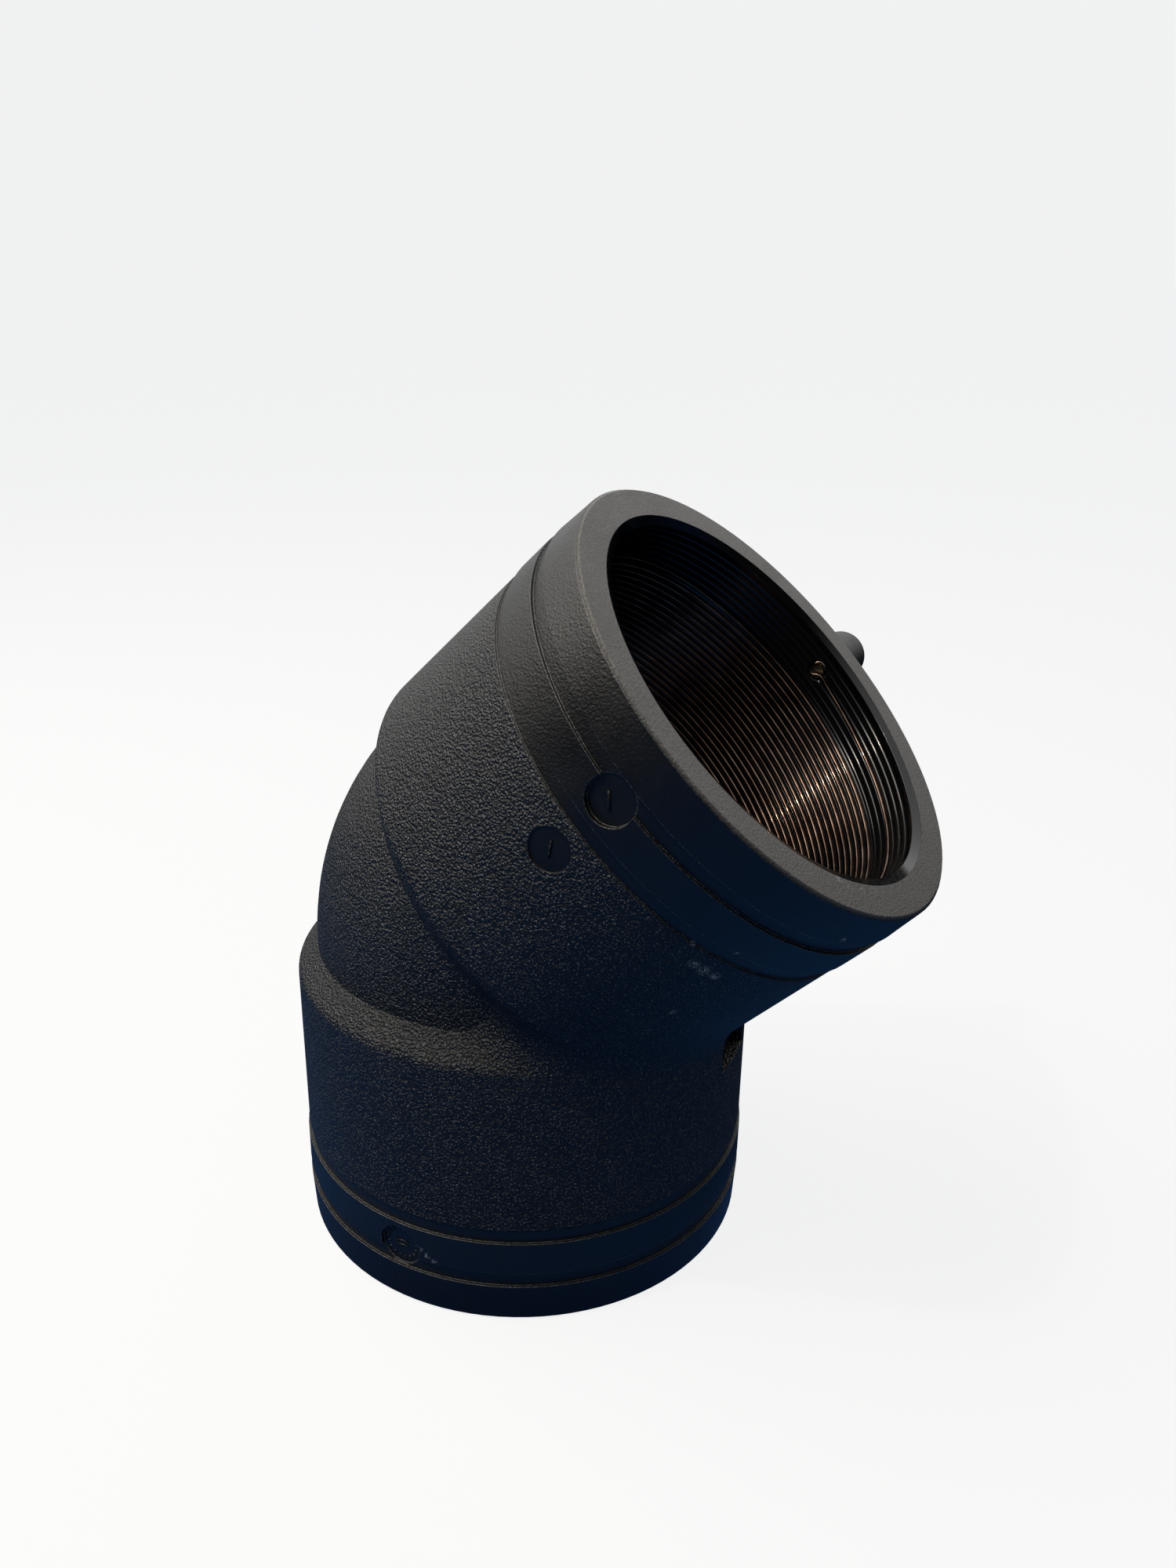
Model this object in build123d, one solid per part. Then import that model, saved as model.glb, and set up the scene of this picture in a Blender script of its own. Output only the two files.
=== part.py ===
from build123d import *
import os
from math import cos, radians, sin, tan

# A 45 degree electrofusion elbow for 110 mm polyethylene pressure pipe, in millimetres.
# The lower mouth lies on the floor with its centre at the origin and its pipe runs along Z.
# The upper socket leans towards +X, so the throat of the bend is on the +X side and the heel on -X.
# Each socket is drawn once, as the lower one, and mirrored about the plane that halves the bend.

# Pipe and socket sizes
pipe_diameter = 110.0
pipe_play = 0.8
bore_radius = (pipe_diameter + pipe_play) / 2
wall = 12.1
socket_radius = bore_radius + wall
insertion_depth = 72.0
pipe_bore_radius = 47.0

# The bend: each socket ends in a sloping shoulder down to a slimmer body
bend_angle = 45.0
half_bend = bend_angle / 2
leg_length = 101.0
bend_body_radius = socket_radius - 6.0
shoulder_to_centre = 12.5
shoulder_length = 7.0
shoulder_end = leg_length - shoulder_to_centre
shoulder_start = shoulder_end - shoulder_length
shoulder_round = 4.0
crotch_round = 14.0

# The mouth: a flat end ring with a broken rim and a shallow lead-in
mouth_radius = socket_radius - 0.3
rim_break = 0.8
lead_in_radius = bore_radius + 2.5
lead_in_depth = 1.0

# Outside rings near the mouth: two grooves, each given by its distances from the mouth
band_radius = socket_radius + 0.4
groove_depth = 0.9
groove_radius = band_radius - groove_depth
first_groove = (12.0, 16.4)
second_groove = (26.6, 30.6)

# Heating wire, wound in a shallow recess so that it lies flush with the bore
wire_size = 1.1
wire_width = 1.4
wire_below_bore = 0.1
wire_inner = bore_radius + wire_below_bore
wire_outer = wire_inner + wire_size
pitch = 2.1
turns = 20
winding_start = 16.7
winding_end = winding_start + pitch * turns
recess_start = 1.8
recess_end = winding_end + 1.1

# Terminals: a pin stands in a round shroud near each mouth, on the side away from the discs
terminal_side = 84.6
terminal_height = 8.5
terminal_place = (terminal_side, terminal_height)
pin_diameter = 4.0
pin_foot = bore_radius + 2.3
pin_tip = socket_radius + 11.5
pin_point = 0.6
collar_diameter = 6.4
collar_span = (bore_radius + 4.6, bore_radius + 6.6)
wire_pocket_diameter = 4.6
shroud_diameter = 15.0
shroud_bore = 11.0
shroud_top = socket_radius + 14.5
shroud_floor = socket_radius + 1.5

# Melt indicators: a stub in a small raised well beside each shroud
indicator_place = (terminal_side, 22.0)
indicator_collar = 8.4
indicator_well = 5.2
indicator_stub = 3.2
indicator_top = band_radius + 1.8
indicator_floor = band_radius - 5.0

# Moulded discs on the near side, each a shallow round recess; only the upper socket has the second
disc_side = terminal_side + 180.0
disc_place = (disc_side, 18.6)
disc_radius = 6.4
disc_floor = groove_radius - 0.6
second_disc_place = (disc_side, 39.7)
second_disc_radius = 5.8
second_disc_floor = socket_radius - 0.6

# The pocket that thins the thick wall in the throat
pocket_width = 19.0
pocket_depth = 6.5
pocket_start = 60.5

overlap = 1.0
touching = 0.01
on_floor = (Align.CENTER, Align.CENTER, Align.MIN)

bend_centre = Vector(0, 0, leg_length)
mitre_normal = Vector(sin(radians(half_bend)), 0, cos(radians(half_bend)))
mitre_plane = Plane(origin=bend_centre, x_dir=(0, 1, 0), z_dir=mitre_normal)


def both(shape):
    """The lower socket's shape together with the upper socket's."""
    return shape + mirror(shape, about=mitre_plane)


def on_mitre(edge):
    """Whether the two ends and the middle of an edge lie in the plane that halves the bend."""
    places = [edge @ share for share in (0, 0.5, 1)]
    return all(abs((place - bend_centre).dot(mitre_normal)) < touching for place in places)


def outward(side, height):
    """A plane on the socket's axis whose Z looks straight out of the wall at this side."""
    direction = Vector(cos(radians(side)), sin(radians(side)), 0)
    return Plane(origin=(0, 0, height), x_dir=(0, 0, 1), z_dir=direction)


def post(place, radius, span):
    """A round post out of the wall at a side and height, between two distances from the axis."""
    lowest, highest = span
    rod = Cylinder(radius, highest - lowest, align=on_floor)
    return outward(*place) * Pos(0, 0, lowest) * rod


def bar(side, tangential, radial, axial):
    """A square bar in the wall, set by its tangential, radial and axial spans."""
    size = [high - low for low, high in (radial, tangential, axial)]
    start = (radial[0], tangential[0], axial[0])
    block = Box(*size, align=(Align.MIN, Align.MIN, Align.MIN))
    return Rot(0, 0, side) * Pos(*start) * block


def lower_half(shape):
    """The part of a shape on the lower socket's side of the mitre plane."""
    return split(shape, bisect_by=mitre_plane, keep=Keep.BOTTOM)


def corner(outline, across, along):
    """The vertex of a flat outline that is nearest to this place."""
    return outline.vertices().sort_by_distance((across, along, 0))[0]


def bend_outside():
    """The body between the two shoulders, with a smooth arc round the heel."""
    arc_offset = (leg_length - shoulder_end) / tan(radians(half_bend))
    hinge = (arc_offset, 0, shoulder_end)
    heel_span = 4 * bend_body_radius
    heel_side = Pos(*hinge) * Rectangle(heel_span, heel_span, align=(Align.MAX, Align.CENTER))
    section = Pos(0, 0, shoulder_end) * Circle(bend_body_radius) & heel_side
    stub = Pos(0, 0, shoulder_end - overlap) * Cylinder(bend_body_radius, overlap, align=on_floor)
    return revolve(section, Axis(hinge, (0, 1, 0)), bend_angle) + both(stub)


def water_way():
    """The straight bore behind one pipe stop, up to the mitre where the two bores meet."""
    length = leg_length + pipe_bore_radius - insertion_depth
    rod = Cylinder(pipe_bore_radius, length, align=on_floor)
    return lower_half(Pos(0, 0, insertion_depth - overlap) * rod)


def socket_outside():
    """Outside of one socket: end band, two narrow grooves, smooth band, long grip zone and shoulder."""
    points = [
        (0, 0),
        (mouth_radius, 0),
        (band_radius, first_groove[0]),
        (groove_radius, first_groove[0]),
        (groove_radius, first_groove[1]),
        (band_radius, first_groove[1]),
        (band_radius, second_groove[0]),
        (groove_radius, second_groove[0]),
        (groove_radius, second_groove[1]),
        (socket_radius, second_groove[1]),
        (socket_radius, shoulder_start),
        (bend_body_radius, shoulder_end),
        (0, shoulder_end),
    ]
    outline = make_face(Polyline(points, close=True))
    outline = fillet(corner(outline, socket_radius, shoulder_start), shoulder_round)
    outline = chamfer(corner(outline, mouth_radius, 0), rim_break)
    return revolve(Plane.XZ * outline, Axis.Z)


def socket_bore():
    """Everything that is hollow round one socket's axis, down to the pipe stop."""
    lead_in_slope = (lead_in_radius - bore_radius) / lead_in_depth
    points = [
        (0, -overlap),
        (lead_in_radius + overlap * lead_in_slope, -overlap),
        (bore_radius, lead_in_depth),
        (bore_radius, recess_start),
        (wire_outer, recess_start),
        (wire_outer, recess_end),
        (bore_radius, recess_end),
        (bore_radius, insertion_depth),
        (0, insertion_depth),
    ]
    return revolve(Plane.XZ * make_face(Polyline(points, close=True)), Axis.Z)


def helical_wire(start, rise, count):
    """Wire of three-sided section, with its edge towards the bore, for this many turns."""
    path = Helix(pitch=rise, height=rise * count, radius=wire_outer, lefthand=True)
    outline = Polyline((0, -wire_width / 2), (wire_size, 0), (0, wire_width / 2), close=True)
    section = Plane(origin=path @ 0, x_dir=(-1, 0, 0), z_dir=(0, -1, 0)) * make_face(outline)
    turn = sweep(section, path=path, is_frenet=True)
    return Pos(0, 0, start) * Rot(0, 0, terminal_side) * turn


def lead_wire():
    """The wire's first turn, which climbs steeply from the terminal to the winding."""
    tail = bar(
        terminal_side,
        (0, wire_size),
        (wire_inner, pin_foot),
        (terminal_height - wire_size / 2, terminal_height + wire_size / 2),
    )
    return helical_wire(terminal_height, winding_start - terminal_height, 1) + tail


def link_wire():
    """The straight wire in the wall that joins the two windings across the bend."""
    straight = bar(
        terminal_side,
        (-wire_size, 0),
        (wire_inner, wire_outer),
        (winding_end - wire_width / 2, leg_length + wire_outer),
    )
    return lower_half(straight)


def terminal_pin():
    """A turned pin with a collar that keeps it in the wall."""
    shank = post(terminal_place, pin_diameter / 2, (pin_foot, pin_tip))
    out = Axis((0, 0, 0), outward(*terminal_place).z_dir)
    shank = chamfer(shank.faces().sort_by(out)[-1].edges(), pin_point)
    return shank + post(terminal_place, collar_diameter / 2, collar_span)


def socket_additions():
    """What stands out of one socket's wall: the terminal shroud and the melt indicator's collar."""
    root = bore_radius + wall / 2
    shroud = post(terminal_place, shroud_diameter / 2, (root, shroud_top))
    collar = post(indicator_place, indicator_collar / 2, (root, indicator_top))
    return shroud + collar


def socket_cuts():
    """What is cut into one socket's wall: shroud bore, indicator well, wire pocket and disc."""
    shroud_hollow = post(terminal_place, shroud_bore / 2, (shroud_floor, shroud_top + overlap))
    well = post(indicator_place, indicator_well / 2, (indicator_floor, shroud_top))
    stub = post(indicator_place, indicator_stub / 2, (bore_radius, indicator_top))
    wire_pocket = post(terminal_place, wire_pocket_diameter / 2, (bore_radius - overlap, pin_foot))
    disc = post(disc_place, disc_radius, (disc_floor, band_radius + overlap))
    return shroud_hollow + (well - stub) + wire_pocket + disc


def second_disc():
    """The upper socket's second disc, cut into the grip zone."""
    drawn_low = post(second_disc_place, second_disc_radius, (second_disc_floor, band_radius))
    return mirror(drawn_low, about=mitre_plane)


def throat_pocket():
    """A pocket under the mitre, open towards the throat."""
    block = Box(
        2 * pocket_depth,
        pocket_width,
        leg_length - pocket_start,
        align=(Align.MIN, Align.CENTER, Align.MIN),
    )
    return lower_half(Pos(socket_radius - pocket_depth, 0, pocket_start) * block)


winding = helical_wire(winding_start, pitch, turns)
lead = lead_wire()
link = link_wire()
heating_wire = both(winding + lead + link)

lower_pin = terminal_pin()
upper_pin = mirror(lower_pin, about=mitre_plane)

elbow_body = both(socket_outside()) + bend_outside()
crotch = [edge for edge in elbow_body.edges() if on_mitre(edge) and edge.center().X > 0]
elbow_body = fillet(crotch, crotch_round)
elbow_body += both(socket_additions())
elbow_body -= both(socket_bore() + water_way())
elbow_body -= both(socket_cuts() + throat_pocket())
elbow_body -= second_disc()
elbow_body -= both(link)
elbow_body -= lower_pin
elbow_body -= upper_pin

nodes = {
    "elbow_body": elbow_body,
    "heating_wire": heating_wire,
    "lower_terminal_pin": lower_pin,
    "upper_terminal_pin": upper_pin,
}

os.makedirs("parts", exist_ok=True)
for name, shape in nodes.items():
    export_step(shape, f"parts/{name}.step")
    print(name, len(shape.solids()), round(shape.volume), shape.is_valid)
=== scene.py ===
import bmesh
import bpy
from math import cos, pi, radians, sin
from mathutils import Matrix, Vector


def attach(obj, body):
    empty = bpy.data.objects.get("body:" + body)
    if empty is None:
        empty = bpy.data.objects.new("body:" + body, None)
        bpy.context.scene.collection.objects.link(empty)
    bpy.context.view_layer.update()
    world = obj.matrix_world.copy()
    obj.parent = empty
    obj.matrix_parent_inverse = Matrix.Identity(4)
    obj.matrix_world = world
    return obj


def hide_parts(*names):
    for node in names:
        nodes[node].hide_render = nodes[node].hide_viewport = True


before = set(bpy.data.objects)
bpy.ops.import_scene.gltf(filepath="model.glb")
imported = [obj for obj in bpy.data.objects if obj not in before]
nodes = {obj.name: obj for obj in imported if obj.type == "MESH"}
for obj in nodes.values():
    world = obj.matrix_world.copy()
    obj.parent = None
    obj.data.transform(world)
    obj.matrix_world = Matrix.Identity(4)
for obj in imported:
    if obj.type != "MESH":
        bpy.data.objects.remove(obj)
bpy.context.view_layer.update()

mm = 0.001

# Sizes of the elbow, the same as in the solids. The lower mouth is centred on the origin.
bore_radius = 55.4 * mm
socket_radius = 67.5 * mm
band_radius = 67.9 * mm
lead_in_radius = 57.9 * mm
water_way_radius = 47.0 * mm
leg_length = 101.0 * mm
half_bend = radians(22.5)
insertion_depth = 72.0 * mm
second_groove_end = 30.6 * mm
recess_start = 1.8 * mm
recess_radius = bore_radius + 1.2 * mm
pitch = 2.1 * mm
turns = 20
winding_start = 16.7 * mm
winding_end = winding_start + pitch * turns
recess_end = winding_end + 1.1 * mm
terminal_side = radians(84.6)
terminal_height = 8.5 * mm
pin_foot = bore_radius + 2.3 * mm
disc_side = terminal_side + pi
disc_place = 18.6 * mm
disc_floor = band_radius - 1.5 * mm
second_disc_place = 39.7 * mm
second_disc_floor = socket_radius - 0.6 * mm
second_disc_end = 45.5 * mm

# The real lead-in is a steeper cone than that of the solids: how far its face turns from looking out
# of the mouth towards the axis
lead_in_lean = radians(52)

# The round wire, which starts as a thinner lead
wire_radius = 0.62 * mm
lead_radius = 0.46 * mm
wire_line = bore_radius + 0.1 * mm + wire_radius
steps_per_turn = 90
wire_sides = 10
# How far the hook lifts the lead, and the shares of the lead's turn over which it lifts and climbs
hook_lift = 1.2 * mm
lift_share = (-0.04, 0.1)
climb_share = (0.2, 1)
# The link through the wall of the bend: its radius, its side, and places along it past the winding
link_line = bore_radius + 0.65 * mm
link_side = terminal_side - radians(0.56)
link_rises = (0.9 * mm, 2.5 * mm, 8 * mm, 20 * mm, 38 * mm)

# The moulded ridges of the bore: bare ones before the wire, and deeper ones between its turns
lining_floor = recess_radius - 0.1 * mm
bare_ridge_foot = bore_radius + 0.95 * mm
bare_ridge_height = 0.2 * mm
wire_ridge_top = bore_radius + 0.6 * mm
wire_ridge_height = 0.45 * mm
# Shares of the pitch over which a bare ridge rises, and turns over which the wire's ridges start and stop
bare_ridge_flank = (0.2, 0.02)
ridges_start = (-0.03, 0.03)
ridges_stop = (turns + 0.02, turns + 0.08)

bend_centre = Vector((0, 0, leg_length))
mitre_normal = Vector((sin(half_bend), 0, cos(half_bend)))


def mirrored(point):
    """The same place on the other socket, across the plane that halves the bend."""
    return point - 2 * (point - bend_centre).dot(mitre_normal) * mitre_normal


def on_socket(side, height, radius, upper):
    """A point of a socket, from its angle round the axis, its distance from the mouth and its radius."""
    point = Vector((radius * cos(side), radius * sin(side), height))
    return mirrored(point) if upper else point


def smooth_step(value, low, high):
    """Runs softly from 0 at the low end to 1 at the high end."""
    share = min(1, max(0, (value - low) / (high - low)))
    return share * share * (3 - 2 * share)


# Materials

polyethylene_ior = 1.51


def linear(code):
    """An sRGB hex colour as the linear colour that a shader takes."""
    channels = [int(code[i:i + 2], 16) / 255 for i in (1, 3, 5)]
    return [c / 12.92 if c <= 0.04045 else ((c + 0.055) / 1.055) ** 2.4 for c in channels] + [1]


def add(tree, kind, sockets=None, **settings):
    """Adds a shader node with its settings, and gives each input a value or a link."""
    node = tree.nodes.new("ShaderNode" + kind)
    for name, value in settings.items():
        setattr(node, name, value)
    for socket, value in (sockets or {}).items():
        if isinstance(value, bpy.types.NodeSocket):
            tree.links.new(value, node.inputs[socket])
        else:
            node.inputs[socket].default_value = value
    return node


def new_material(name):
    """An empty material and the node tree to fill."""
    material = bpy.data.materials.new(name)
    material.use_nodes = True
    material.node_tree.nodes.clear()
    return material, material.node_tree


def socket_measures(tree, place):
    """Measures shared by both sockets, the upper one folded over the mitre onto the lower one: the
    distance from the mouth, the radius, the way out from the axis, and how far past the mitre it was."""
    from_centre = add(tree, "VectorMath", {0: place, 1: bend_centre}, operation="SUBTRACT")
    off_mitre = add(
        tree, "VectorMath", {0: from_centre.outputs[0], 1: mitre_normal}, operation="DOT_PRODUCT"
    )
    beyond = add(tree, "Math", {0: off_mitre.outputs["Value"], 1: 0.0}, operation="MAXIMUM")
    twice = add(tree, "Math", {0: beyond.outputs[0], 1: 2.0}, operation="MULTIPLY")
    shift = add(tree, "VectorMath", {0: mitre_normal, "Scale": twice.outputs[0]}, operation="SCALE")
    folded = add(tree, "VectorMath", {0: place, 1: shift.outputs[0]}, operation="SUBTRACT")
    split = add(tree, "SeparateXYZ", {0: folded.outputs[0]})
    across = add(tree, "CombineXYZ", {0: split.outputs["X"], 1: split.outputs["Y"]})
    radius = add(tree, "VectorMath", {0: across.outputs[0]}, operation="LENGTH")
    outward = add(tree, "VectorMath", {0: across.outputs[0]}, operation="NORMALIZE")
    return split.outputs["Z"], radius.outputs["Value"], outward.outputs[0], beyond.outputs[0]


def outside_zones(tree, height, radius):
    """1 where the wall has its coarse grain, and 1 on the whole outside. The grain starts at the inner
    groove and leaves out the second disc."""
    grain_start, grain_full = second_groove_end - 0.1 * mm, second_groove_end + 0.4 * mm
    disc_near, disc_clear = second_disc_end + 2.5 * mm, second_disc_end + 3.5 * mm
    under_wall, on_wall = socket_radius - 0.4 * mm, socket_radius - 0.15 * mm
    lip_end, ring_start = lead_in_radius - 0.1 * mm, lead_in_radius + 0.05 * mm
    water_way_wall, body_wall = water_way_radius + 2 * mm, water_way_radius + 3 * mm
    stop_start, stop_end = insertion_depth + 1 * mm, insertion_depth + 2 * mm

    past_bands = add(tree, "MapRange", {"Value": height, "From Min": grain_start, "From Max": grain_full})
    past_disc = add(tree, "MapRange", {"Value": height, "From Min": disc_near, "From Max": disc_clear})
    full_radius = add(tree, "MapRange", {"Value": radius, "From Min": under_wall, "From Max": on_wall})
    clear = add(tree, "Math", {0: past_disc.outputs[0], 1: full_radius.outputs[0]}, operation="MAXIMUM")
    past_lip = add(tree, "MapRange", {"Value": radius, "From Min": lip_end, "From Max": ring_start})
    past_way = add(tree, "MapRange", {"Value": radius, "From Min": water_way_wall, "From Max": body_wall})
    past_stop = add(tree, "MapRange", {"Value": height, "From Min": stop_start, "From Max": stop_end})
    on_bend = add(tree, "Math", {0: past_way.outputs[0], 1: past_stop.outputs[0]}, operation="MULTIPLY")
    outside = add(tree, "Math", {0: past_lip.outputs[0], 1: on_bend.outputs[0]}, operation="MAXIMUM")
    grip = add(tree, "Math", {0: past_bands.outputs[0], 1: clear.outputs[0]}, operation="MULTIPLY")
    grained = add(tree, "Math", {0: grip.outputs[0], 1: outside.outputs[0]}, operation="MULTIPLY")
    return grained.outputs[0], outside.outputs[0]


def leather_grain(tree, place):
    """Wrinkled pebbles just under 1 mm wide, their edges bent by a slower wander. Runs from 0 to about 2."""
    pebble_width, wrinkle_width = 0.75 * mm, 0.45 * mm
    wander_width, wander_reach = 0.9 * mm, 0.7 * mm
    pebble_edge, pebble_crown = 0.75, 0.1
    wander = add(tree, "TexNoise", {"Vector": place, "Scale": 1 / wander_width, "Detail": 2.0})
    off_centre = add(
        tree, "VectorMath", {0: wander.outputs["Color"], 1: (0.5, 0.5, 0.5)}, operation="SUBTRACT"
    )
    bent = add(
        tree,
        "VectorMath",
        {0: off_centre.outputs[0], 1: (wander_reach,) * 3, 2: place},
        operation="MULTIPLY_ADD",
    )
    pebbles = add(
        tree,
        "TexVoronoi",
        {"Vector": bent.outputs[0], "Scale": 1 / pebble_width, "Smoothness": 0.35},
        feature="SMOOTH_F1",
    )
    pebble_top = add(
        tree,
        "MapRange",
        {"Value": pebbles.outputs["Distance"], "From Min": pebble_edge, "From Max": pebble_crown},
    )
    wrinkles = add(tree, "TexNoise", {"Vector": bent.outputs[0], "Scale": 1 / wrinkle_width, "Detail": 3.0})
    return add(
        tree, "Math", {0: pebble_top.outputs[0], 1: wrinkles.outputs["Fac"]}, operation="ADD"
    ).outputs[0]


def skin_colour(tree, zones, grain, tooth, patches):
    """Near black with soft flow patches, paler grain tops that are partly painted glints, a deeper black
    inside that is painted shade, and the grey of the end faces, partly a painted sheen where they face the
    light, with their pale specks."""
    height, grained, outside = zones
    patch_span, speck_span, grain_top_span = (0.3, 0.7), (0.3, 0.75), (1.2, 1.45)
    end_face_span = (0.75 * mm, 0.15 * mm)

    # The end faces are drawn a warm grey, lighter than the rest: partly a painted sheen where they face the
    # light
    by_mouth = add(
        tree, "MapRange", {"Value": height, "From Min": end_face_span[0], "From Max": end_face_span[1]}
    )
    end_face = add(tree, "Math", {0: by_mouth.outputs[0], 1: outside}, operation="MULTIPLY")
    specks = add(tree, "MapRange", {"Value": tooth, "From Min": speck_span[0], "From Max": speck_span[1]})
    end_colour = add(
        tree,
        "Mix",
        {"Factor": specks.outputs[0], "A": linear("#3e3b37"), "B": linear("#76716a")},
        data_type="RGBA",
    )
    flow = add(tree, "MapRange", {"Value": patches, "From Min": patch_span[0], "From Max": patch_span[1]})
    flow_colour = add(
        tree,
        "Mix",
        {"Factor": flow.outputs[0], "A": linear("#0e0e0e"), "B": linear("#141413")},
        data_type="RGBA",
    )
    # The tops of the grain are drawn paler than the hollows: partly painted glints where they catch the
    # light, partly polish from handling
    grain_tops = add(
        tree, "MapRange", {"Value": grain, "From Min": grain_top_span[0], "From Max": grain_top_span[1]}
    )
    worn_tops_and_painted_glints = add(tree, "Math", {0: grain_tops.outputs[0], 1: grained}, operation="MULTIPLY")
    grain_colour = add(
        tree,
        "Mix",
        {"Factor": worn_tops_and_painted_glints.outputs[0], "A": flow_colour.outputs["Result"], "B": linear("#5a5e64")},
        data_type="RGBA",
    )
    # Inside, where the plastic was moulded round the polished core, it is drawn a deeper black: painted
    # shade of the mouths and bore
    colour_with_painted_inside_shade = add(
        tree,
        "Mix",
        {"Factor": outside, "A": linear("#060709"), "B": grain_colour.outputs["Result"]},
        data_type="RGBA",
    )
    moulded, end_grey_and_painted_sheen = colour_with_painted_inside_shade.outputs["Result"], end_colour.outputs["Result"]
    return add(
        tree, "Mix", {"Factor": end_face.outputs[0], "A": moulded, "B": end_grey_and_painted_sheen}, data_type="RGBA"
    ).outputs["Result"]


def scuffs():
    """Places and sizes of the pale scuffs. Each is a side angle, a distance and a size, and the distance
    is from the mouth on the walls and from the axis on the end face."""
    on_upper_wall = [
        (302.6, 35.7, 2.0), (305.7, 35.9, 2.4), (308.9, 36.0, 1.8), (298.1, 30.6, 1.0), (306.6, 26.1, 1.0),
        (311.2, 53.4, 1.2), (323.8, 9.9, 1.2),
    ]
    on_lower_wall = [(270.5, 19.9, 1.2), (272.3, 18.5, 1.4), (274.1, 17.0, 1.2)]
    on_upper_end = [(315.5, 58.6, 1.3), (318.0, 59.4, 1.1), (324.3, 59.2, 1.0), (330.2, 59.0, 0.9)]
    walls = [
        (on_socket(radians(side), height * mm, socket_radius, upper), size * mm)
        for upper, marks in ((True, on_upper_wall), (False, on_lower_wall))
        for side, height, size in marks
    ]
    ends = [
        (on_socket(radians(side), 0, radius * mm, True), size * mm) for side, radius, size in on_upper_end
    ]
    return walls + ends


def scuffs_and_edge_highlights(tree, place, zones, tooth, corner):
    """1 where the plastic is drawn pale: in places along the corners, a painted highlight of the edges that
    is partly worn flash from the mould, and in flecks at the scuffs, where the fitting was dragged over
    something rough."""
    height, outside = zones
    turned_span, edge_patch_span, fleck_span = (0.985, 0.9), (0.45, 0.62), (0.5, 0.57)
    band_end = (second_groove_end + 0.4 * mm, second_groove_end - 0.1 * mm)
    edge_highlight_on_bands = 0.5
    full_scuff = 0.3

    # Pale lines along the corners: partly painted highlight of the edges, partly worn flash
    true_normal = add(tree, "NewGeometry").outputs["Normal"]
    turned = add(tree, "VectorMath", {0: corner, 1: true_normal}, operation="DOT_PRODUCT")
    on_corner = add(
        tree,
        "MapRange",
        {"Value": turned.outputs["Value"], "From Min": turned_span[0], "From Max": turned_span[1]},
    )
    edge_patches = add(
        tree, "MapRange", {"Value": tooth, "From Min": edge_patch_span[0], "From Max": edge_patch_span[1]}
    )
    edge_highlight_and_flash = add(tree, "Math", {0: on_corner.outputs[0], 1: edge_patches.outputs[0]}, operation="MULTIPLY")
    on_bands = add(
        tree,
        "MapRange",
        {"Value": height, "From Min": band_end[0], "From Max": band_end[1], "To Max": edge_highlight_on_bands},
    )
    edge_highlight_and_flash = add(tree, "Math", {0: edge_highlight_and_flash.outputs[0], 1: on_bands.outputs[0]}, operation="MULTIPLY")
    marked = add(tree, "Math", {0: edge_highlight_and_flash.outputs[0], 1: outside}, operation="MULTIPLY").outputs[0]
    flecks = add(tree, "MapRange", {"Value": tooth, "From Min": fleck_span[0], "From Max": fleck_span[1]})
    for centre, size in scuffs():
        away = add(tree, "VectorMath", {0: place, 1: centre}, operation="DISTANCE")
        near = add(
            tree,
            "MapRange",
            {"Value": away.outputs["Value"], "From Min": size, "From Max": full_scuff * size},
        )
        scuff = add(tree, "Math", {0: near.outputs[0], 1: flecks.outputs[0]}, operation="MULTIPLY")
        marked = add(tree, "Math", {0: marked, 1: scuff.outputs[0]}, operation="MAXIMUM").outputs[0]
    return marked


def lead_in_normal(tree, outward, beyond):
    """The way that the real, steeper lead-in faces, for the lower socket and unfolded for the upper one."""
    lean = add(
        tree,
        "VectorMath",
        {0: outward, 1: (-sin(lead_in_lean),) * 3, 2: (0, 0, -cos(lead_in_lean))},
        operation="MULTIPLY_ADD",
    )
    lean_across = add(tree, "VectorMath", {0: lean.outputs[0], 1: mitre_normal}, operation="DOT_PRODUCT")
    on_upper = add(tree, "Math", {0: beyond, 1: 0.0}, operation="GREATER_THAN")
    twice = add(tree, "Math", {0: lean_across.outputs["Value"], 1: -2.0}, operation="MULTIPLY")
    shift = add(tree, "Math", {0: twice.outputs[0], 1: on_upper.outputs[0]}, operation="MULTIPLY")
    unfold = add(tree, "VectorMath", {0: mitre_normal, "Scale": shift.outputs[0]}, operation="SCALE")
    return add(tree, "VectorMath", {0: lean.outputs[0], 1: unfold.outputs[0]}, operation="ADD").outputs[0]


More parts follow.
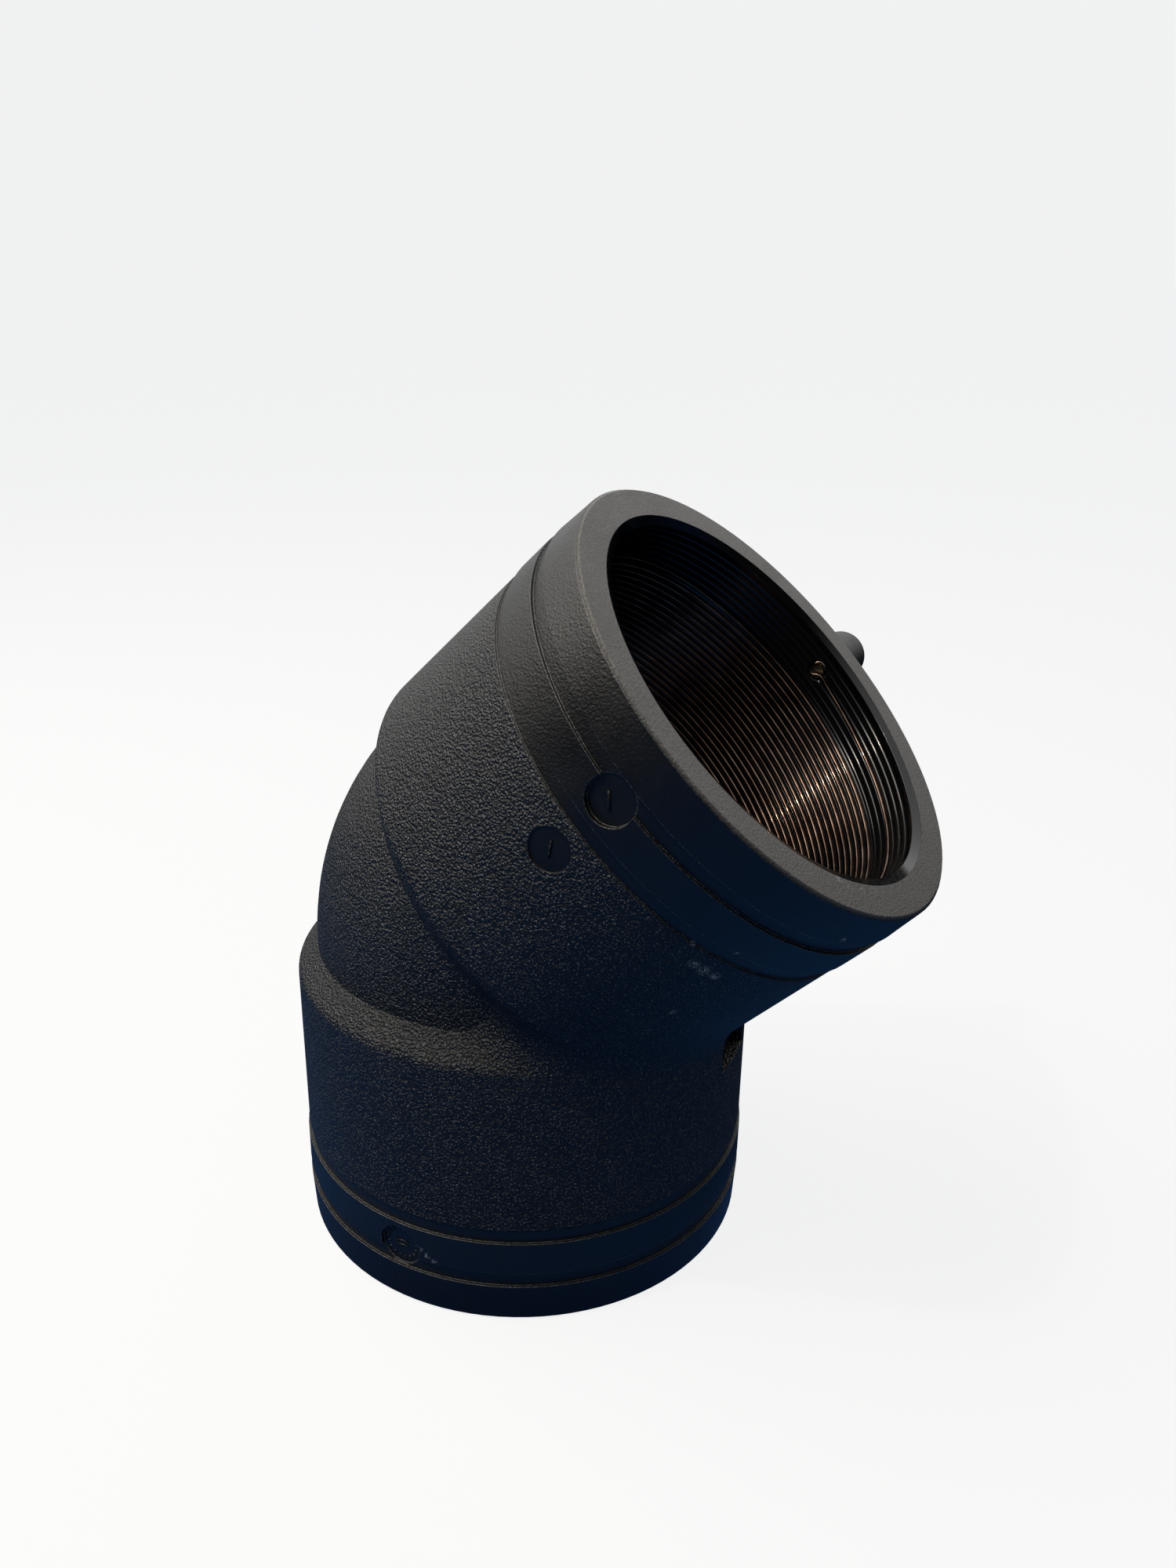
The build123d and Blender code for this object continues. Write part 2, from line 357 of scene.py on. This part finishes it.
def moulded_polyethylene():
    """Black polyethylene, injection moulded: dull, with a coarse leather grain cut into the mould
    for grip, and plain satin bands and ends. The eye gets soft grey sheen only where it faces the sky."""
    tooth_width, patch_width, corner_round = 0.5 * mm, 14 * mm, 0.45 * mm
    tooth_relief, grain_relief = 0.09 * mm, 0.4 * mm
    band_grain = 0.14
    patch_span, outside_roughness, inside_roughness = (0.3, 0.7), (0.3, 0.42), 0.14
    lip_span = (1.2 * mm, 0.95 * mm)

    material, tree = new_material("moulded_black_polyethylene")
    place = add(tree, "TexCoord").outputs["Object"]
    height, radius, outward, beyond = socket_measures(tree, place)
    grained, outside = outside_zones(tree, height, radius)
    grain = leather_grain(tree, place)
    # The mould's skin: a fine tooth over everything, with soft flow patches. A real tooth is finer, and
    # this one is drawn as coarse as it needs to show.
    tooth = add(
        tree, "TexNoise", {"Vector": place, "Scale": 1 / tooth_width, "Detail": 4.0, "Roughness": 0.6}
    ).outputs["Fac"]
    patches = add(
        tree, "TexNoise", {"Vector": place, "Scale": 1 / patch_width, "Detail": 4.0, "Roughness": 0.65}
    ).outputs["Fac"]
    # Moulded corners are never sharp: a small round catches a thin line of light along each edge
    corner = add(tree, "Bevel", {"Radius": corner_round}, samples=6).outputs[0]

    body_colour = skin_colour(tree, (height, grained, outside), grain, tooth, patches)
    marked = scuffs_and_edge_highlights(tree, place, (height, outside), tooth, corner)
    # Pale flecks at the scuffs are wear, and the pale lines along the corners are partly painted highlight
    worn_and_edge_lit_colour = add(
        tree, "Mix", {"Factor": marked, "A": body_colour, "B": linear("#a4a7a8")}, data_type="RGBA"
    )

    dullness = add(
        tree,
        "MapRange",
        {
            "Value": patches,
            "From Min": patch_span[0],
            "From Max": patch_span[1],
            "To Min": outside_roughness[0],
            "To Max": outside_roughness[1],
        },
    )
    gloss = add(
        tree, "MapRange", {"Value": outside, "To Min": inside_roughness, "To Max": dullness.outputs[0]}
    )

    # The lip of each mouth takes its light as the real lead-in does
    by_edge = add(tree, "MapRange", {"Value": height, "From Min": lip_span[0], "From Max": lip_span[1]})
    inside = add(tree, "Math", {0: 1.0, 1: outside}, operation="SUBTRACT")
    on_lip = add(tree, "Math", {0: by_edge.outputs[0], 1: inside.outputs[0]}, operation="MULTIPLY")
    smooth_normal = add(
        tree,
        "Mix",
        {"Factor": on_lip.outputs[0], "A": corner, "B": lead_in_normal(tree, outward, beyond)},
        data_type="VECTOR",
    )
    tooth_height = add(tree, "Math", {0: tooth, 1: outside}, operation="MULTIPLY")
    fine_bump = add(
        tree,
        "Bump",
        {
            "Height": tooth_height.outputs[0],
            "Distance": tooth_relief,
            "Strength": 1.0,
            "Normal": smooth_normal.outputs["Result"],
        },
    )
    # The bands and ends keep a faint trace of the grain
    trace = add(tree, "Math", {0: outside, 1: band_grain}, operation="MULTIPLY")
    grain_share = add(tree, "Math", {0: grained, 1: trace.outputs[0]}, operation="MAXIMUM")
    grain_height = add(tree, "Math", {0: grain, 1: grain_share.outputs[0]}, operation="MULTIPLY")
    grain_bump = add(
        tree,
        "Bump",
        {
            "Height": grain_height.outputs[0],
            "Distance": grain_relief,
            "Strength": 1.0,
            "Normal": fine_bump.outputs[0],
        },
    )
    shader = add(
        tree,
        "BsdfPrincipled",
        {
            "Base Color": worn_and_edge_lit_colour.outputs["Result"],
            "Roughness": gloss.outputs[0],
            "IOR": polyethylene_ior,
            "Normal": grain_bump.outputs[0],
        },
    )
    add(tree, "OutputMaterial", {"Surface": shader.outputs[0]})
    return material


def core_moulded_polyethylene():
    """The same black polyethylene where it was moulded round the wound core, drawn darker than the outside
    as painted shade in the bore. The eye gets a smoother and glossier black."""
    cloud_width, tooth_width, tooth_relief = 5 * mm, 0.4 * mm, 0.003 * mm
    cloud_span, roughness_span = (0.3, 0.7), (0.14, 0.22)
    material, tree = new_material("core_moulded_black_polyethylene")
    place = add(tree, "TexCoord").outputs["Object"]
    clouds = add(tree, "TexNoise", {"Vector": place, "Scale": 1 / cloud_width, "Detail": 3.0}).outputs["Fac"]
    # Painted shade: a darker black than the outside skin, for the shade in the bore
    colour = add(
        tree, "Mix", {"Factor": clouds, "A": linear("#08090b"), "B": linear("#0d0e10")}, data_type="RGBA"
    )
    dullness = add(
        tree,
        "MapRange",
        {
            "Value": clouds,
            "From Min": cloud_span[0],
            "From Max": cloud_span[1],
            "To Min": roughness_span[0],
            "To Max": roughness_span[1],
        },
    )
    # A faint tooth, drawn as coarse as it needs to show
    tooth = add(tree, "TexNoise", {"Vector": place, "Scale": 1 / tooth_width, "Detail": 2.0})
    bump = add(tree, "Bump", {"Height": tooth.outputs["Fac"], "Distance": tooth_relief, "Strength": 1.0})
    shader = add(
        tree,
        "BsdfPrincipled",
        {
            "Base Color": colour.outputs["Result"],
            "Roughness": dullness.outputs[0],
            "IOR": polyethylene_ior,
            "Normal": bump.outputs[0],
        },
    )
    add(tree, "OutputMaterial", {"Surface": shader.outputs[0]})
    return material


def drawn_copper():
    """Bare drawn copper wire, tarnished brown. The eye gets a bright line along each turn."""
    tarnish_width = 6 * mm
    tarnish_span, roughness_span = (0.35, 0.7), (0.07, 0.12)
    material, tree = new_material("drawn_copper_wire")
    place = add(tree, "TexCoord").outputs["Object"]
    tarnish = add(
        tree, "TexNoise", {"Vector": place, "Scale": 1 / tarnish_width, "Detail": 4.0, "Roughness": 0.6}
    ).outputs["Fac"]
    share = add(
        tree, "MapRange", {"Value": tarnish, "From Min": tarnish_span[0], "From Max": tarnish_span[1]}
    )
    colour = add(
        tree,
        "Mix",
        {"Factor": share.outputs[0], "A": linear("#8f796a"), "B": linear("#523f34")},
        data_type="RGBA",
    )
    dullness = add(
        tree,
        "MapRange",
        {
            "Value": tarnish,
            "From Min": tarnish_span[0],
            "From Max": tarnish_span[1],
            "To Min": roughness_span[0],
            "To Max": roughness_span[1],
        },
    )
    shader = add(
        tree,
        "BsdfPrincipled",
        {"Base Color": colour.outputs["Result"], "Metallic": 1.0, "Roughness": dullness.outputs[0]},
    )
    add(tree, "OutputMaterial", {"Surface": shader.outputs[0]})
    return material


def tinned_brass():
    """Turned brass pin with a tin coat. The eye gets a pale satin metal with the lathe's fine unevenness."""
    cloud_width, lathe_width, lathe_relief = 2.5 * mm, 0.3 * mm, 0.01 * mm
    material, tree = new_material("tinned_turned_brass")
    place = add(tree, "TexCoord").outputs["Object"]
    clouds = add(tree, "TexNoise", {"Vector": place, "Scale": 1 / cloud_width, "Detail": 3.0})
    colour = add(
        tree,
        "Mix",
        {"Factor": clouds.outputs["Fac"], "A": linear("#d6d1bf"), "B": linear("#b9b19a")},
        data_type="RGBA",
    )
    # Real lathe marks are finer, and these are drawn as coarse as they need to show
    lathe_marks = add(tree, "TexNoise", {"Vector": place, "Scale": 1 / lathe_width})
    bump = add(
        tree, "Bump", {"Height": lathe_marks.outputs["Fac"], "Distance": lathe_relief, "Strength": 1.0}
    )
    shader = add(
        tree,
        "BsdfPrincipled",
        {
            "Base Color": colour.outputs["Result"],
            "Metallic": 1.0,
            "Roughness": 0.3,
            "Normal": bump.outputs[0],
        },
    )
    add(tree, "OutputMaterial", {"Surface": shader.outputs[0]})
    return material


# Pieces

def mesh_object(name, mesh, material):
    """A Blender object made from a bmesh, with one material."""
    data = bpy.data.meshes.new(name)
    mesh.to_mesh(data)
    mesh.free()
    data.materials.append(material)
    made = bpy.data.objects.new(name, data)
    bpy.context.collection.objects.link(made)
    return made


def shade_smooth(piece):
    """Smooth shading on every face."""
    for polygon in piece.data.polygons:
        polygon.use_smooth = True


def new_piece(name, mesh, material):
    """A shown piece of the elbow from a bmesh, riding on the fitting's only body."""
    bmesh.ops.recalc_face_normals(mesh, faces=mesh.faces)
    piece = mesh_object(name, mesh, material)
    shade_smooth(piece)
    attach(piece, "root")
    return piece


def dress(name, material):
    """Gives a solid of the frame its material and smooth shading."""
    solid = nodes[name]
    solid.data.materials.clear()
    solid.data.materials.append(material)
    shade_smooth(solid)


def skin_rings(mesh, rings):
    """Faces between neighbouring rings of vertices, and caps on the two ends of the row."""
    count = len(rings[0])
    for near, far in zip(rings, rings[1:]):
        for i in range(count):
            j = (i + 1) % count
            mesh.faces.new((near[i], near[j], far[j], far[i]))
    mesh.faces.new(rings[0][::-1])
    mesh.faces.new(rings[-1])


def add_round_rod(mesh, line, sides):
    """A round rod along a line of points with their radii, its section carried along without twist."""
    angles = [2 * pi * k / sides for k in range(sides)]
    ring_normal = None
    rings = []
    for i, (point, radius) in enumerate(line):
        ahead = line[min(i + 1, len(line) - 1)][0] - line[max(i - 1, 0)][0]
        ahead.normalize()
        if ring_normal is None:
            ring_normal = ahead.orthogonal()
        ring_normal = (ring_normal - ring_normal.dot(ahead) * ahead).normalized()
        side = ahead.cross(ring_normal)
        rings.append([
            mesh.verts.new(point + radius * (cos(a) * ring_normal + sin(a) * side)) for a in angles
        ])
    skin_rings(mesh, rings)


def lead_height(turn):
    """Distance of the lead turn from the mouth, for the share of its turn already run: lifted by the
    hook, on at the winding's pitch, and then a climb to the first full turn."""
    climb = winding_start - terminal_height - hook_lift - pitch
    lifted = terminal_height + hook_lift * smooth_step(turn, *lift_share)
    return lifted + pitch * turn + climb * smooth_step(turn, *climb_share)


def wire_points(upper):
    """The heating wire of one socket, from its terminal to where it leaves through the wall."""
    # The hook by which the wire holds in the terminal pocket: side angle, height and depth under the bore
    hook = [
        (-1.9, -1.7, 1.0), (-1.2, -2.5, 0.9), (-0.3, -2.75, 1.1), (0.8, -2.65, 1.2), (1.6, -1.9, 0.8),
        (1.6, -0.9, 0.6), (1.35, 0.3, 0.45), (1.0, 1.3, 0.35), (0.35, 1.85, 0.3), (-0.5, 1.4, 0.3),
        (-1.35, 0.45, 0.35), (-2.1, 0.0, 0.35), (-2.8, -0.1, 0.4), (-3.8, 0.0, 0.5), (-5.2, 0.25, 0.6),
    ]
    line = [
        on_socket(
            terminal_side + radians(side), terminal_height + rise * mm, bore_radius + depth * mm, upper
        )
        for side, rise, depth in hook
    ]
    # The hook already covers the first two steps of the lead turn
    for step in range(2, steps_per_turn):
        turn = step / steps_per_turn
        line.append(on_socket(terminal_side - 2 * pi * turn, lead_height(turn), wire_line, upper))
    radii = [lead_radius] * len(line)
    thickening_share = (-0.03, 0.06)
    for step in range(turns * steps_per_turn - 1):
        turn = step / steps_per_turn
        line.append(on_socket(terminal_side - 2 * pi * turn, winding_start + pitch * turn, wire_line, upper))
        radii.append(lead_radius + (wire_radius - lead_radius) * smooth_step(turn, *thickening_share))
    # The last turn bends into the straight link that runs in the wall to the other socket
    for rise in link_rises:
        line.append(on_socket(link_side, winding_end + rise, link_line, upper))
        radii.append(wire_radius)
    return list(zip(line, radii))


def heating_wire(copper):
    """One copper wire through both sockets, hooked into the terminal at each end."""
    mesh = bmesh.new()
    add_round_rod(mesh, wire_points(False) + wire_points(True)[::-1], wire_sides)
    wire = new_piece("wound_copper_wire", mesh, copper)
    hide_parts("heating_wire")


def ridge_radius(turn, share):
    """Radius of the core-moulded surface at a turn along the winding and a share of the pitch across it."""
    before_wire = bare_ridge_foot - bare_ridge_height * smooth_step(abs(share), *bare_ridge_flank)
    between_turns = wire_ridge_top + wire_ridge_height * cos(pi * share) ** 2
    radius = before_wire + (between_turns - before_wire) * smooth_step(turn, *ridges_start)
    return radius + (lining_floor - radius) * smooth_step(turn, *ridges_stop)


def lining_radius(turn, share, side, height):
    """Radius of the ridged lining, sunk under the lead wire and round the foot of the terminal pin."""
    lead_clearance = (0.45 * mm, 1.0 * mm)
    pocket_rim = (2.3 * mm, 2.8 * mm)
    pocket_floor = pin_foot + 0.5 * mm
    from_lead = abs(height - lead_height(turn % 1))
    radius = ridge_radius(turn, share)
    radius = lining_floor + (radius - lining_floor) * smooth_step(from_lead, *lead_clearance)
    run = (side - terminal_side + pi) % (2 * pi) - pi
    from_pin = Vector((run * bore_radius, height - terminal_height)).length
    return radius + (pocket_floor - radius) * (1 - smooth_step(from_pin, *pocket_rim))


def bore_ridges(name, upper, plastic):
    """The ridged lining of a socket: a helical thread of moulded plastic that the wire lies in,
    carried on as bare ridges towards the mouth, where no wire heats the joint."""
    # Rings of points stand 1 degree apart over the terminal pocket and 3.6 degrees apart elsewhere
    pocket_half, coarse_step, coarse_steps = 9, 3.6, 95
    angles = [radians(a) for a in range(-pocket_half, pocket_half + 1)]
    angles += [radians(pocket_half + coarse_step * k) for k in range(1, coarse_steps)]
    # Places across one pitch, close together round the middle, where a bare ridge stands
    shares = (-0.5, -0.34, -0.21, -0.13, -0.05, 0.05, 0.13, 0.21, 0.34)
    first_turn = -(winding_start - recess_start) / pitch + 0.5
    last_turn = (recess_end - winding_start) / pitch - 0.5

    mesh = bmesh.new()
    rings = []
    for whole in range(int(first_turn) - 1, int(last_turn) + 2):
        for angle in angles:
            turn = whole + angle / (2 * pi)
            if not first_turn <= turn <= last_turn:
                continue
            side = terminal_side - angle
            heights = [winding_start + pitch * (turn + share) for share in shares]
            rings.append([
                mesh.verts.new(on_socket(side, height, lining_radius(turn, share, side, height), upper))
                for share, height in zip(shares, heights)
            ])
    per_turn = len(angles)
    for i, (near, far) in enumerate(zip(rings, rings[1:])):
        for k in range(len(shares) - 1):
            mesh.faces.new((near[k], near[k + 1], far[k + 1], far[k]))
        if i + per_turn + 1 < len(rings):
            mesh.faces.new((near[-1], rings[i + per_turn][0], rings[i + per_turn + 1][0], far[-1]))
    new_piece(name, mesh, plastic)


def disc_frame(place, radius, side, upper):
    """Axes on a disc: its centre, the run round the socket, the run along it and the way out."""
    centre = on_socket(side, place, radius, upper)
    along = on_socket(side, place + mm, radius, upper) - centre
    out = on_socket(side, place, radius + mm, upper) - centre
    round_way = on_socket(side + mm / radius, place, radius, upper) - centre
    return centre, round_way.normalized(), along.normalized(), out.normalized()


def add_bar(mesh, disc_axes, start, end, width, rise):
    """A raised bar on a disc between two places given in the disc's own two directions, in millimetres.
    Its sides are upright and lean in near the top."""
    bar_root, upright_share, top_share = -0.2 * mm, 0.6, 0.55
    centre, round_way, along, out = disc_axes
    width, rise = width * mm, rise * mm
    start, end = Vector(start) * mm, Vector(end) * mm
    length = (end - start).length
    direction = ((end - start).x * round_way + (end - start).y * along) / length
    across = out.cross(direction)
    middle = (start + end) / 2
    origin = centre + middle.x * round_way + middle.y * along
    rings = []
    for level, spread in ((bar_root, 1.0), (rise * upright_share, 1.0), (rise, top_share)):
        half_length = length / 2 - (1 - spread) * width / 2
        half_width = width / 2 * spread
        rings.append([
            mesh.verts.new(origin + run * half_length * direction + over * half_width * across + level * out)
            for run, over in ((-1, -1), (1, -1), (1, 1), (-1, 1))
        ])
    skin_rings(mesh, rings)


def disc_marks(plastic):
    """Plain marks raised on the moulded discs: one slanting bar on each disc of the upper socket, and two
    level bars in a dial of ticks on the lower one."""
    mesh = bmesh.new()
    first = disc_frame(disc_place, disc_floor, disc_side, True)
    add_bar(mesh, first, (-2.0, -0.8), (1.6, 2.4), 0.6, 0.45)
    lower = disc_frame(disc_place, disc_floor, disc_side, False)
    for rise in (-0.7, 0.7):
        add_bar(mesh, lower, (-2.1, rise), (2.1, rise), 0.6, 0.3)
    ticks, tick_start, tick_end = 16, 4.2, 5.5
    for tick in range(ticks):
        angle = 2 * pi * (tick + 0.5) / ticks
        ray = Vector((cos(angle), sin(angle)))
        add_bar(mesh, lower, ray * tick_start, ray * tick_end, 0.5, 0.25)
    second = disc_frame(second_disc_place, second_disc_floor, disc_side, True)
    add_bar(mesh, second, (-1.4, -1.9), (1.3, 1.7), 0.6, 0.4)
    new_piece("disc_marks", mesh, plastic)


# Studio, lamps and camera

def round_sheet(name, radius, height, material):
    """A flat round sheet of the studio, which is no part of the elbow."""
    mesh = bmesh.new()
    bmesh.ops.create_circle(
        mesh, cap_ends=True, segments=96, radius=radius, matrix=Matrix.Translation((0, 0, height))
    )
    sheet = mesh_object(name, mesh, material)
    return sheet


def round_wall(name, radius, height, material):
    """A round wall of the studio, open at the top."""
    mesh = bmesh.new()
    bmesh.ops.create_cone(
        mesh, cap_ends=False, segments=96, radius1=radius, radius2=radius, depth=height,
        matrix=Matrix.Translation((0, 0, height / 2)),
    )
    wall = mesh_object(name, mesh, material)
    return wall


def seen_directly(tree):
    """1 for what the camera sees itself, in a gloss or through glass, and 0 for the light on the elbow."""
    ray = add(tree, "LightPath").outputs
    seen = add(tree, "Math", {0: ray["Is Camera Ray"], 1: ray["Is Glossy Ray"]}, operation="ADD")
    return add(tree, "Math", {0: seen.outputs[0], 1: ray["Is Transmission Ray"]}, operation="ADD").outputs[0]


def studio_sheets():
    """A white floor and wall. The photographed elbow mirrors a dark blue table, so its gloss looks past
    the floor to the world below, which has that blue, and to a darker blue in the shade under the foot."""
    # The share of the paper's white that is its own for the camera, and sizes in metres
    own_white = 0.86
    studio_radius, wall_height = 20, 12
    paper, tree = new_material("matt_white_paper")
    matt = add(tree, "BsdfDiffuse", {"Color": linear("#f4f4f3")})
    bright = add(tree, "Emission", {"Color": (1, 1, 1, 1), "Strength": 1.0})
    share = add(tree, "Math", {0: seen_directly(tree), 1: own_white}, operation="MULTIPLY")
    blend = add(tree, "MixShader", {0: share.outputs[0], 1: matt.outputs[0], 2: bright.outputs[0]})
    add(tree, "OutputMaterial", {"Surface": blend.outputs[0]})
    floor = round_sheet("studio_floor", studio_radius, 0, paper)
    wall = round_wall("studio_wall", studio_radius, wall_height, paper)
    for sheet in (floor, wall):
        sheet.visible_glossy = False
        sheet.visible_diffuse = False

    # The table by the foot, in the elbow's own shade: a darker blue that only the foot's gloss sees
    shaded, tree = new_material("shaded_blue_table")
    glow = add(tree, "Emission", {"Color": linear("#26426f"), "Strength": 1.0})
    add(tree, "OutputMaterial", {"Surface": glow.outputs[0]})
    round_sheet("shade_under_elbow", 80 * mm, -1 * mm, shaded)


def studio_world():
    """The room that the gloss sees, an even soft light for the rest, and plain white for the camera."""
    world = bpy.data.worlds.new("studio")
    bpy.context.scene.world = world
    world.use_nodes = True
    tree = world.node_tree
    tree.nodes.clear()
    direction = add(tree, "TexCoord").outputs["Generated"]

    # The room is brightest overhead and towards the back left, and dim at the front and right
    towards_light, light_span, room_span = Vector((-0.22, 0.4, 1.0)), (0.0, 0.85), (0.03, 1.0)
    facing_light = add(tree, "VectorMath", {0: direction, 1: towards_light}, operation="DOT_PRODUCT")
    room = add(
        tree,
        "MapRange",
        {
            "Value": facing_light.outputs["Value"],
            "From Min": light_span[0],
            "From Max": light_span[1],
            "To Min": room_span[0],
            "To Max": room_span[1],
        },
        interpolation_type="SMOOTHSTEP",
    )

    # The blue table is lit below and in front, and falls into the dark behind
    towards_front, front_span, table_edge = Vector((0, -1, -0.6)), (-0.6, 0.5), (-0.32, -0.08)
    facing_front = add(tree, "VectorMath", {0: direction, 1: towards_front}, operation="DOT_PRODUCT")
    near = add(
        tree,
        "MapRange",
        {"Value": facing_front.outputs["Value"], "From Min": front_span[0], "From Max": front_span[1]},
    )
    table = add(
        tree,
        "Mix",
        {"Factor": near.outputs[0], "A": linear("#0a1420"), "B": linear("#2f5c94")},
        data_type="RGBA",
    )
    rise = add(tree, "SeparateXYZ", {0: direction}).outputs["Z"]
    above_table = add(
        tree,
        "MapRange",
        {"Value": rise, "From Min": table_edge[0], "From Max": table_edge[1]},
        interpolation_type="SMOOTHSTEP",
    )
    colour = add(
        tree,
        "Mix",
        {"Factor": above_table.outputs[0], "A": table.outputs["Result"], "B": room.outputs[0]},
        data_type="RGBA",
    )
    mirrored_room = add(tree, "Background", {"Color": colour.outputs["Result"], "Strength": 1.0})
    soft_light = add(tree, "Background", {"Color": linear("#c4d8f5"), "Strength": 0.25})
    sky = add(
        tree, "MixShader", {0: seen_directly(tree), 1: soft_light.outputs[0], 2: mirrored_room.outputs[0]}
    )
    # Past the end of the floor the camera sees the same white as far off on the floor
    white = add(tree, "Background", {"Color": (1, 1, 1, 1), "Strength": 0.88})
    by_camera = add(tree, "LightPath").outputs["Is Camera Ray"]
    shown = add(tree, "MixShader", {0: by_camera, 1: sky.outputs[0], 2: white.outputs[0]})
    add(tree, "OutputWorld", {"Surface": shown.outputs[0]})


def way_back(azimuth, elevation):
    """The way from the elbow to a lamp or camera. Azimuth 0 is in front, and it turns to the right."""
    flat = cos(elevation)
    return Vector((sin(azimuth) * flat, -cos(azimuth) * flat, sin(elevation)))


def lamp(name, azimuth, elevation, distance, size, power, colour):
    """A round lamp that looks at the middle of the elbow. Its light isn't followed from wire to wire,
    where a small bright lamp would only leave stray dots."""
    elbow_middle = Vector((20 * mm, 0, 110 * mm))
    back = way_back(radians(azimuth), radians(elevation))
    data = bpy.data.lights.new(name, "AREA")
    data.shape = "DISK"
    data.size = size
    data.energy = power
    data.color = linear(colour)[:3]
    data.cycles.max_bounces = 0
    light = bpy.data.objects.new(name, data)
    light.location = elbow_middle + back * distance
    light.rotation_euler = (-back).to_track_quat("-Z", "Y").to_euler()
    bpy.context.collection.objects.link(light)


def photo_camera():
    """The camera of the photograph, fitted to the outlines of the rings and mouths. Angles are in radians,
    and the focal length is a share of the longer side of the picture."""
    azimuth, elevation, roll = 0.4028, 0.3800, 0.0168
    target = Vector((19.76 * mm, 0, 137.72 * mm))
    distance = 371.8 * mm
    focal_share = 1678.25 / 2000
    back = way_back(azimuth, elevation)
    level_right = (-back).cross(Vector((0, 0, 1))).normalized()
    level_up = level_right.cross(-back)
    right = level_right * cos(roll) + level_up * sin(roll)
    up = level_up * cos(roll) - level_right * sin(roll)
    data = bpy.data.cameras.new("photo_camera")
    data.sensor_fit = "AUTO"
    data.sensor_width = 36
    data.lens = focal_share * data.sensor_width
    data.clip_start = 0.01
    camera = bpy.data.objects.new("photo_camera", data)
    turn = Matrix((right, up, back)).transposed()
    camera.matrix_world = Matrix.Translation(target + back * distance) @ turn.to_4x4()
    bpy.context.collection.objects.link(camera)
    bpy.context.scene.camera = camera


polyethylene = moulded_polyethylene()
core_plastic = core_moulded_polyethylene()
copper = drawn_copper()
tin = tinned_brass()

dress("elbow_body", polyethylene)
dress("lower_terminal_pin", tin)
dress("upper_terminal_pin", tin)
heating_wire(copper)
bore_ridges("lower_bore_ridges", False, core_plastic)
bore_ridges("upper_bore_ridges", True, core_plastic)
disc_marks(polyethylene)

photo_camera()
studio_sheets()
studio_world()
# A wide window lamp, a ceiling panel, and a small lamp that draws the bright spots along the turns of wire.
# Each has its azimuth and elevation in degrees, its distance and size in metres, its watts and its colour.
lamp("window_lamp", -72, 56, 0.9, 1.0, 7.0, "#fff6ea")
lamp("ceiling_panel", -28, 60, 1.1, 0.35, 0.75, "#fffaf2")
lamp("ceiling_lamp", -35, 63, 1.1, 0.05, 2.4, "#fff1dc")
bpy.context.scene.view_settings.view_transform = "Standard"
